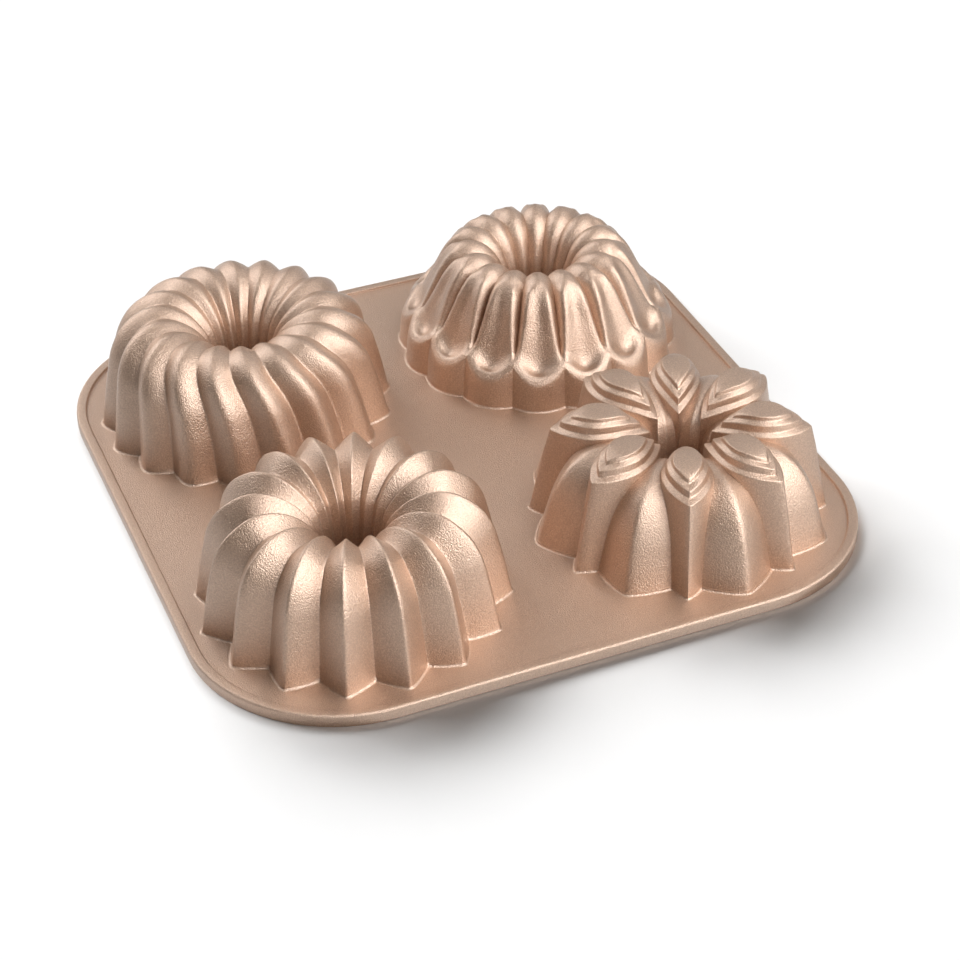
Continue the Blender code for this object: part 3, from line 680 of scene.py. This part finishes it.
def fold_skins(mould, table, down_table, draft, tray):
    """The outer skin and the cup of a folded mould, and the bore of its tube."""
    rows = table_rows(table, mould, tray)
    long_rows = smooth_rows(rows + tube_rows(rows[-1], down_table, draft, tray), OUTER_ROW_STEP)
    throat = long_rows.index(rows[-1])
    skin = fold_lines(long_rows)
    cup = cup_lines(smooth_rows(rows, INNER_ROW_STEP), mould.ribs, tray.mould_wall)
    return skin[:throat + 1], cup, skin[throat:]


def swirl_skins(swirl, tray):
    return fold_skins(swirl, SWIRL_ROWS, TUBE_ROWS, tray.tube_draft, tray)


def star_skins(star, tray):
    return fold_skins(star, STAR_ROWS, TUBE_ROWS, tray.tube_draft, tray)


def arch_skins(petal, tray):
    """The panels' skin, which here runs on down the tube, and their cup."""
    skin, cup, bore = fold_skins(petal, ARCH_ROWS, PETAL_TUBE_ROWS, petal.arch_draft, tray)
    return skin + bore[1:], cup


def scallop_skins(scallop, tray):
    """The outer skin and the cup of the scalloped mould, and the bore of its tube."""
    reach = scallop.foot_radius - scallop.hole_radius
    rows = []
    for row in SCALLOP_ROWS:
        points = []
        for out, up in (row[0:2], row[2:4], row[4:6]):
            points += [scallop.hole_radius + reach * out, tray.deck_top + scallop.crown * up]
        rows.append(tuple(points) + tuple(row[6:]))
    throat = rows[-1]
    span = throat[1] - tray.tube_end
    down = []
    for fallen, drawn, flute in TUBE_ROWS:
        radius = throat[0] * (1.0 - tray.tube_draft * drawn)
        height = throat[1] - span * fallen
        down.append((radius, height, radius + (throat[2] - throat[0]) * flute, height,
                     radius + (throat[4] - throat[0]) * flute, height) + throat[6:])
    long_rows = smooth_rows(rows + down, SPOON_ROW_STEP)
    skin = [((row[0:2], row[2:4], row[4:6]), row) for row in long_rows]
    cup = []
    cup_rows = smooth_rows(rows, INNER_ROW_STEP)
    for row, (out, up) in zip(cup_rows, profile_normals([row[2:4] for row in cup_rows])):
        away = (out * tray.mould_wall, up * tray.mould_wall)
        lines = tuple((row[i] - away[0], row[i + 1] - away[1]) for i in (0, 2, 4))
        cup.append((lines, row))
    cut = long_rows.index(throat)
    return skin[:cut + 1], cup, skin[cut:]


def whole_section(outer, cup, ribs, tray):
    """Stations all the way round a mould's section."""
    inside = [station for station in cup if min(point[1] for point in station[0]) > tray.deck_top]
    return (foot_stations(outer, ribs, tray) + list(reversed(inside))
            + list(reversed(mouth_stations(cup, tray))))


def tube_section(bore, tray):
    """A tube's section: down its bore, round its end and up its side in the cup."""
    wall = tray.tube_wall
    lip = wall / 2.0
    low = tray.tube_end + lip
    sides = [station for station in bore if min(point[1] for point in station[0]) > low]
    lines, row = bore[-1]
    end = []
    for step in range(2 * FILLET_STEPS + 1):
        angle = math.pi * step / (2 * FILLET_STEPS)
        out = lip * (1.0 - math.cos(angle))
        height = low - lip * math.sin(angle)
        end.append((tuple((radius + out, height) for radius, _ in lines), row))
    back = [(tuple((radius + wall, height) for radius, height in points), own)
            for points, own in reversed(sides)]
    return sides + end + back


def make_mould(mould, skins, flutes, shell, tube):
    """A fluted mould's shell and tube, each given as its name and its node."""
    tray = bpy.context.scene.bundt_tray
    outer, cup, bore = skins(mould, tray)
    for (name, node), section in ((shell, whole_section(outer, cup, flutes.ribs, tray)),
                                  (tube, tube_section(bore, tray))):
        finish_piece(name, fluted_ring(section, flutes), node, "coated_mould", mould.centre)
    return {"FINISHED"}


def leaf_outline(petal, draw):
    """Pointed leaf along +X, drawn in by draw, as points from the outer tip round to it again."""
    outer = petal.outer_tip - TIP_PULL * draw
    inner = petal.inner_tip + TIP_PULL * draw
    side = []
    for step in range(1, LEAF_STEPS):
        along = 0.5 - 0.5 * math.cos(math.pi * step / LEAF_STEPS)
        wide = math.sin(math.pi * along ** LEAF_SKEW) ** LEAF_FULLNESS
        side.append((inner + (outer - inner) * along, (petal.half_width - draw) * wide))
    return [(outer, 0.0)] + side[::-1] + [(inner, 0.0)] + [(x, -y) for x, y in side]


def leaf_drop(petal, along, draw):
    """How far a leaf's surface falls towards its two tips; its steps fall more than its edge."""
    middle = (petal.outer_tip + petal.inner_tip) / 2.0
    half = (petal.outer_tip - petal.inner_tip) / 2.0
    drop = petal.outer_drop if along > middle else petal.inner_drop
    stepped = 2.0 * (petal.tread + petal.riser_slope)
    in_steps = min(max(draw, 0.0), stepped)
    near_tip = min(abs(along - middle) / (half - TIP_PULL * in_steps), 1.0)
    return drop * ((along - middle) / half) ** 2 + petal.crown_drop * in_steps / stepped * near_tip ** 4


def leaf_levels(petal, tray, shrink):
    """Outlines of one leaf from below the deck to its top; shrink draws them in by a wall."""
    edge = tray.deck_top + petal.edge_height
    low = tray.deck_underside - (CUT_OVERRUN if shrink else 0.0)
    lean = petal.foot_tip - petal.outer_tip
    tall = edge - tray.deck_top
    levels = []
    for height, climbed in [(low, 0.0)] + [(tray.deck_top + tall * up, up) for up in LEAF_WALL_SHARES]:
        bow = (petal.face_share - 0.5) * 4.0 * climbed * (1.0 - climbed)
        out = lean * (1.0 - climbed + bow)
        drawn = petal.tip_draft * max(tray.throat - height, 0.0) / (tray.throat - tray.tube_end)
        ring = []
        for x, y in leaf_outline(petal, shrink):
            tip = max(x - petal.inner_tip, 0.0) / (petal.outer_tip - petal.inner_tip)
            ring.append((x + out * tip - drawn * (1.0 - tip) ** 3, y, height))
        levels.append(ring)
    steps = [(0.0, -LEAF_SKIRT), (0.0, 0.0)]
    for draw, rise in ((petal.tread, petal.tread_rise), (petal.riser_slope, petal.riser),
                       (petal.tread, petal.tread_rise), (petal.riser_slope, petal.top_riser)):
        steps.append((steps[-1][0] + draw, steps[-1][1] + rise))
    inmost, top = steps[-1]
    steps.append((inmost + LEAF_TOP_START[0], top + LEAF_TOP_START[1]))
    path = rounded_path(steps, petal.edge_round, LEAF_ROUND_STEPS)[1:]
    path += [(inmost + inward, top + LEAF_TOP_RISE) for inward in LEAF_TOP_ROWS]
    widest = petal.half_width - shrink - LEAF_LEAST_WIDTH
    for draw, rise in path:
        if draw > widest:
            break
        levels.append([(x, y, edge + rise - shrink - leaf_drop(petal, x, draw))
                       for x, y in leaf_outline(petal, shrink + draw)])
    return levels


def stack_levels(builder, levels, turn):
    """Join a stack of outlines into one closed body, turned about the upright axis."""
    made = []
    rings = []
    for level in levels:
        verts = [builder.verts.new(point) for point in level]
        edges = [builder.edges.new((verts[index - 1], verts[index])) for index in range(len(verts))]
        rings.append((verts, edges))
        made.extend(verts)
    for lower, upper in zip(rings, rings[1:]):
        bmesh.ops.bridge_loops(builder, edges=lower[1] + upper[1])
    for verts, _ in (rings[0], rings[-1]):
        builder.faces.new(verts)
    bmesh.ops.rotate(builder, verts=made, cent=(0.0, 0.0, 0.0), matrix=Matrix.Rotation(turn, 3, "Z"))


def petal_leaves(petal, tray, shrink):
    """All the leaves as separate bodies in one bmesh."""
    builder = bmesh.new()
    for index in range(petal.ribs):
        turn = 2.0 * math.pi * (index + 0.5) / petal.ribs
        stack_levels(builder, leaf_levels(petal, tray, shrink), turn)
    return builder


def petal_foot(petal, tray, outer, place):
    """Outline of the petal mould's foot: the arched panels with the leaves' tips standing out."""
    lines, row = outer[0]
    across = fold_flutes(petal).across
    leaf = leaf_levels(petal, tray, 0.0)[0]
    per_panel = STEPS_PER_ARCH * 2
    steps = petal.ribs * per_panel
    points = []
    for step in range(steps):
        angle = 2.0 * math.pi * step / steps
        phase = rib_phase(step, per_panel)
        arch, _ = across(phase, lines, row)
        aside = (abs(phase) - 0.5) * 2.0 * math.pi / petal.ribs
        radius = max(arch, ray_radius(leaf, abs(aside)))
        points.append((place[0] + radius * math.cos(angle), place[1] + radius * math.sin(angle)))
    return points


def ray_radius(leaf, aside):
    """Radius at which a ray from the axis, aside from the leaf's middle, leaves the leaf."""
    reach = 0.0
    for (x0, y0, _), (x1, y1, _) in zip(leaf, leaf[1:]):
        a0 = math.atan2(y0, x0) - aside
        a1 = math.atan2(y1, x1) - aside
        if a0 * a1 <= 0.0 and a0 != a1:
            t = a0 / (a0 - a1)
            reach = max(reach, math.hypot(x0 + (x1 - x0) * t, y0 + (y1 - y0) * t))
    return reach


def loose_object(name, builder):
    """A helper that is combined with a piece and then removed."""
    bmesh.ops.recalc_face_normals(builder, faces=builder.faces[:])
    mesh = bpy.data.meshes.new(name)
    builder.to_mesh(mesh)
    builder.free()
    helper = bpy.data.objects.new(name, mesh)
    bpy.context.scene.collection.objects.link(helper)
    return helper


def combine(target, helper, operation):
    """Join or cut two helpers, keeping the first and removing the second."""
    step = target.modifiers.new("step", "BOOLEAN")
    step.operation = operation
    step.solver = "MANIFOLD"
    step.object = helper
    bpy.context.view_layer.update()
    done = bpy.data.meshes.new_from_object(target.evaluated_get(bpy.context.evaluated_depsgraph_get()))
    target.modifiers.clear()
    target.data = done
    bpy.data.objects.remove(helper, do_unlink=True)


def solid_stations(skin, low):
    """A skin closed by a flat underside, as a body for joining and cutting."""
    lines, row = skin[0]
    level = max(point[1] for point in lines)
    foot = [(tuple((radius, height) for radius, _ in lines), row) for height in (low, level)]
    lines, row = skin[-1]
    return foot + list(skin[1:]) + [(tuple((radius, low) for radius, _ in lines), row)]


def upright_cone(name, low, high, low_radius, high_radius):
    """A round helper between two heights."""
    builder = bmesh.new()
    bmesh.ops.create_cone(builder, cap_ends=True, segments=CONE_STEPS, radius1=low_radius,
                          radius2=high_radius, depth=high - low)
    bmesh.ops.translate(builder, verts=builder.verts[:], vec=(0.0, 0.0, (high + low) / 2.0))
    return loose_object(name, builder)


class BUNDT_OT_deck(Operator):
    """Make the flat deck between the border and the moulds"""
    bl_idname = "bundt.deck"
    bl_label = "Deck"

    def execute(self, context):
        scene = context.scene
        tray, swirl, star = scene.bundt_tray, scene.bundt_swirl, scene.bundt_star
        scallop, petal = scene.bundt_scallop, scene.bundt_petal
        outlines = [foot_outline(skins(mould, tray)[0][0], flutes(mould), mould.centre)
                    for mould, skins, flutes in ((swirl, swirl_skins, swirl_flutes),
                                                 (star, star_skins, fold_flutes),
                                                 (scallop, scallop_skins, spoon_flutes))]
        outlines.append(petal_foot(petal, tray, arch_skins(petal, tray)[0], petal.centre))
        outlines.append(rounded_square(tray, tray.rim_width))
        builder = bmesh.new()
        edges = []
        for outline in outlines:
            verts = [builder.verts.new((x, y, tray.deck_underside)) for x, y in outline]
            edges += [builder.edges.new((verts[i - 1], verts[i])) for i in range(len(verts))]
        bmesh.ops.triangle_fill(builder, use_beauty=True, use_dissolve=False, edges=edges,
                                normal=(0.0, 0.0, -1.0))
        top = bmesh.ops.extrude_face_region(builder, geom=builder.faces[:])
        raised = [item for item in top["geom"] if isinstance(item, bmesh.types.BMVert)]
        bmesh.ops.translate(builder, verts=raised,
                            vec=(0.0, 0.0, tray.deck_top - tray.deck_underside))
        finish_piece("deck_sheet", builder, "deck_plate", "coated_deck", sharp=30.0)
        return {"FINISHED"}


class BUNDT_OT_rim(Operator):
    """Make the raised border that the tray stands on"""
    bl_idname = "bundt.rim"
    bl_label = "Border"

    def execute(self, context):
        tray = context.scene.bundt_tray
        large, small, width = tray.rim_round, tray.rim_inner_round, tray.rim_width
        high, deck = tray.rim_height, tray.deck_top
        sunk = deck - TOE_SINK
        section = [(-small, 0.0), (-small * BEND, small * BEND), (0.0, small)]
        section += [(-large * one, high - large * two) for one, two in quarter_round()]
        section += [(-width + small * two, high - small * one) for one, two in quarter_round()]
        section += [(-width - small * one, deck + small * two) for one, two in quarter_round()]
        section += [(-width - small, sunk), (-width, sunk), (-width, small),
                    (-width + small * BEND, small * BEND), (-width + small, 0.0)]
        builder = outline_ring(rounded_square(tray, 0.0), section)
        finish_piece("border_casting", builder, "rim_border", "coated_rim")
        return {"FINISHED"}


class BUNDT_OT_swirl(Operator):
    """Make the swirled mould and its tube"""
    bl_idname = "bundt.swirl"
    bl_label = "Swirled Mould"

    def execute(self, context):
        swirl = context.scene.bundt_swirl
        return make_mould(swirl, swirl_skins, swirl_flutes(swirl),
                          ("swirl_shell", "swirl_mould"), ("swirl_tube", "swirl_centre_tube"))


class BUNDT_OT_star(Operator):
    """Make the star mould and its tube"""
    bl_idname = "bundt.star"
    bl_label = "Star Mould"

    def execute(self, context):
        star = context.scene.bundt_star
        return make_mould(star, star_skins, fold_flutes(star),
                          ("star_shell", "star_mould"), ("star_tube", "star_centre_tube"))


class BUNDT_OT_scallop(Operator):
    """Make the scalloped mould and its tube"""
    bl_idname = "bundt.scallop"
    bl_label = "Scalloped Mould"

    def execute(self, context):
        scallop = context.scene.bundt_scallop
        return make_mould(scallop, scallop_skins, spoon_flutes(scallop),
                          ("scallop_shell", "scallop_mould"), ("scallop_tube", "scallop_centre_tube"))


class BUNDT_OT_petal(Operator):
    """Make the petal mould, its foot and its tube"""
    bl_idname = "bundt.petal"
    bl_label = "Petal Mould"

    def execute(self, context):
        scene = context.scene
        tray, petal = scene.bundt_tray, scene.bundt_petal
        outer, cup = arch_skins(petal, tray)
        body = loose_object("petal_body", fluted_ring(solid_stations(outer, tray.deck_underside),
                                                      fold_flutes(petal, STEPS_PER_ARCH)))
        combine(body, loose_object("petal_leaves", petal_leaves(petal, tray, 0.0)), "UNION")

        tube = bpy.data.objects.new("petal_bore", body.data.copy())
        scene.collection.objects.link(tube)
        wall = tray.tube_wall
        combine(tube, upright_cone("petal_plug", tray.tube_end, tray.throat, outer[-1][0][1][0] + wall,
                                   petal.hole_radius + wall), "INTERSECT")

        low = tray.deck_underside - CUT_OVERRUN
        hollow = loose_object("petal_hollow", fluted_ring(solid_stations(cup, low),
                                                          fold_flutes(petal, STEPS_PER_ARCH // 2)))
        leaves = loose_object("petal_leaf_hollows", petal_leaves(petal, tray, tray.mould_wall))
        combine(hollow, leaves, "UNION")
        combine(body, hollow, "DIFFERENCE")
        reach = cup[-1][0][1][0] + CUT_OVERRUN
        combine(body, upright_cone("petal_throat", low, tray.throat, reach, reach), "DIFFERENCE")

        toe = tray.foot_fillet
        sunk = tray.deck_top - TOE_SINK
        section = [(-toe / 2.0, sunk), (toe, sunk)]
        section += [(toe * out, tray.deck_top + toe * up) for up, out in quarter_round()]
        section.append((-toe / 2.0, tray.deck_top + toe))
        shell = outline_ring(petal_foot(petal, tray, outer, (0.0, 0.0)), section)
        shell.from_mesh(body.data)
        finish_piece("petal_shell", shell, "petal_mould", "coated_mould", petal.centre, sharp=32.0)
        bore = bmesh.new()
        bore.from_mesh(tube.data)
        finish_piece("petal_tube", bore, "petal_centre_tube", "coated_mould", petal.centre, sharp=32.0)
        for helper in (body, tube):
            bpy.data.objects.remove(helper, do_unlink=True)
        return {"FINISHED"}


def place_lamp(name, kind, power, place):
    """A lamp turned to the middle of the tray."""
    lamp = bpy.data.lights.new(name, kind)
    lamp.energy = power
    item = bpy.data.objects.new(name, lamp)
    item.location = place
    item.rotation_euler = (LAMP_AIM - item.location).to_track_quat("-Z", "Y").to_euler()
    bpy.context.scene.collection.objects.link(item)
    return item


def add_lights(stage):
    """Softboxes that are seen in the metal, and soft low lights that lay the shadow on the table."""
    for name, setting, size, place in SOFTBOXES:
        item = place_lamp(name, "AREA", getattr(stage, setting), place)
        item.data.shape = "SQUARE"
        item.data.size = size
        item.visible_diffuse = False
    for place in SHADOW_PLACES:
        item = place_lamp("shadow_light", "SUN", stage.sun / len(SHADOW_PLACES), place)
        item.data.angle = SHADOW_SOFTNESS
        item.visible_glossy = False


def soft_room(stage):
    """A white room: dim round the tray and white behind it."""
    world = bpy.data.worlds.new("soft_room")
    world.use_nodes = True
    tree = world.node_tree
    seen = add_node(tree, "MapRange", {"Value": add_node(tree, "LightPath").outputs["Is Camera Ray"],
                                       "To Min": stage.room, "To Max": 1.0})
    feed(tree, tree.nodes["Background"], {"Color": (1.0, 1.0, 1.0, 1.0),
                                          "Strength": seen.outputs["Result"]})
    return world


def table_paper(stage):
    """White paper that takes the tray's shadow. Beside the tray the metal mirrors it without one."""
    material = bpy.data.materials.new("table_paper")
    material.use_nodes = True
    tree = material.node_tree
    tree.nodes.remove(tree.nodes["Principled BSDF"])
    rays = add_node(tree, "LightPath").outputs

    def join(operation, one, two):
        return add_node(tree, "Math", {0: one, 1: two}, operation=operation).outputs["Value"]

    seen = join("MAXIMUM", join("MAXIMUM", rays["Is Camera Ray"], rays["Is Glossy Ray"]),
                rays["Is Transmission Ray"])
    tone = add_node(tree, "MapRange", {"Value": seen, "To Min": stage.floor,
                                       "To Max": stage.floor_seen})
    paper = add_node(tree, "BsdfDiffuse", {"Color": tone.outputs["Result"]})
    spot = add_node(tree, "TexCoord").outputs["Object"]
    apart = add_node(tree, "VectorMath", {0: spot}, operation="ABSOLUTE").outputs["Vector"]
    sides = add_node(tree, "SeparateXYZ", {"Vector": apart}).outputs
    beside = join("GREATER_THAN", join("MAXIMUM", sides["X"], sides["Y"]), CAD_BOUNDS[1][0])
    glow = add_node(tree, "Emission", {"Strength": stage.floor_mirrored})
    surface = add_node(tree, "MixShader", {0: join("MULTIPLY", beside, rays["Is Glossy Ray"]),
                                           1: paper.outputs["BSDF"], 2: glow.outputs["Emission"]})
    feed(tree, tree.nodes["Material Output"], {"Surface": surface.outputs["Shader"]})
    return material


def add_camera(scene):
    """The camera at the photograph's angle."""
    azimuth = math.radians(-22.76162)
    elevation = math.radians(36.64141)
    roll = math.radians(-0.46107)
    distance = 0.97674
    aim = Vector((0.01489, -0.02429, 0.0))
    focal_pixels = 2347.60339
    centre_x, centre_y = 509.54563, 485.2016
    frame_pixels = 960.0
    sensor_width = 36.0
    back = Vector((math.sin(azimuth) * math.cos(elevation), -math.cos(azimuth) * math.cos(elevation),
                   math.sin(elevation)))
    right = Vector((math.cos(azimuth), math.sin(azimuth), 0.0))
    up = back.cross(right)
    turned_right = right * math.cos(roll) + up * math.sin(roll)
    turned_up = up * math.cos(roll) - right * math.sin(roll)
    place = Matrix((turned_right, turned_up, back)).transposed().to_4x4()
    place.translation = aim + back * distance
    data = bpy.data.cameras.new("photo_camera")
    data.sensor_width = sensor_width
    data.lens = focal_pixels / frame_pixels * sensor_width
    data.shift_x = -(centre_x - frame_pixels / 2.0) / frame_pixels
    data.shift_y = (centre_y - frame_pixels / 2.0) / frame_pixels
    data.clip_start = 0.01
    data.clip_end = 50.0
    camera = bpy.data.objects.new("photo_camera", data)
    camera.matrix_world = place
    scene.collection.objects.link(camera)
    scene.camera = camera


class BUNDT_OT_stage(Operator):
    """Make the white table, the soft lights and the camera"""
    bl_idname = "bundt.stage"
    bl_label = "Stage"

    def execute(self, context):
        scene = context.scene
        stage = scene.bundt_stage
        builder = bmesh.new()
        bmesh.ops.create_grid(builder, x_segments=1, y_segments=1, size=TABLE_HALF)
        mesh = bpy.data.meshes.new("table_top")
        builder.to_mesh(mesh)
        builder.free()
        table = bpy.data.objects.new("table_top", mesh)
        mesh.materials.append(table_paper(stage))
        scene.collection.objects.link(table)
        scene.world = soft_room(stage)
        add_lights(stage)
        add_camera(scene)
        scene.view_settings.view_transform = "Standard"
        return {"FINISHED"}


class BUNDT_PT_panel(Panel):
    """Buttons and sizes of the pan"""
    bl_label = "Mini Bundt Pan"
    bl_idname = "BUNDT_PT_panel"
    bl_space_type = "VIEW_3D"
    bl_region_type = "UI"
    bl_category = "Bundt Pan"

    def draw(self, context):
        column = self.layout.column()
        for operator in OPERATORS:
            column.operator(operator.bl_idname, text=operator.bl_label)
        for name in SETTINGS:
            group = getattr(context.scene, name)
            box = self.layout.box()
            box.label(text=name.replace("bundt_", "").capitalize())
            for prop in group.__annotations__:
                box.prop(group, prop)


OPERATORS = (BUNDT_OT_deck, BUNDT_OT_rim, BUNDT_OT_swirl, BUNDT_OT_star, BUNDT_OT_scallop,
             BUNDT_OT_petal, BUNDT_OT_stage)
SETTINGS = {
    "bundt_tray": TraySettings,
    "bundt_swirl": SwirlSettings,
    "bundt_star": StarSettings,
    "bundt_scallop": ScallopSettings,
    "bundt_petal": PetalSettings,
    "bundt_finish": FinishSettings,
    "bundt_stage": StageSettings,
}


def register():
    for name, group in SETTINGS.items():
        bpy.utils.register_class(group)
        setattr(bpy.types.Scene, name, PointerProperty(type=group))
    for item in OPERATORS + (BUNDT_PT_panel,):
        bpy.utils.register_class(item)


def unregister():
    for item in reversed(OPERATORS + (BUNDT_PT_panel,)):
        bpy.utils.unregister_class(item)
    for name, group in reversed(list(SETTINGS.items())):
        delattr(bpy.types.Scene, name)
        bpy.utils.unregister_class(group)


def main():
    """Build every piece and the stage."""
    register()
    bpy.ops.bundt.deck()
    bpy.ops.bundt.rim()
    bpy.ops.bundt.swirl()
    bpy.ops.bundt.star()
    bpy.ops.bundt.scallop()
    bpy.ops.bundt.petal()
    bpy.ops.bundt.stage()


if __name__ == "__main__":
    main()
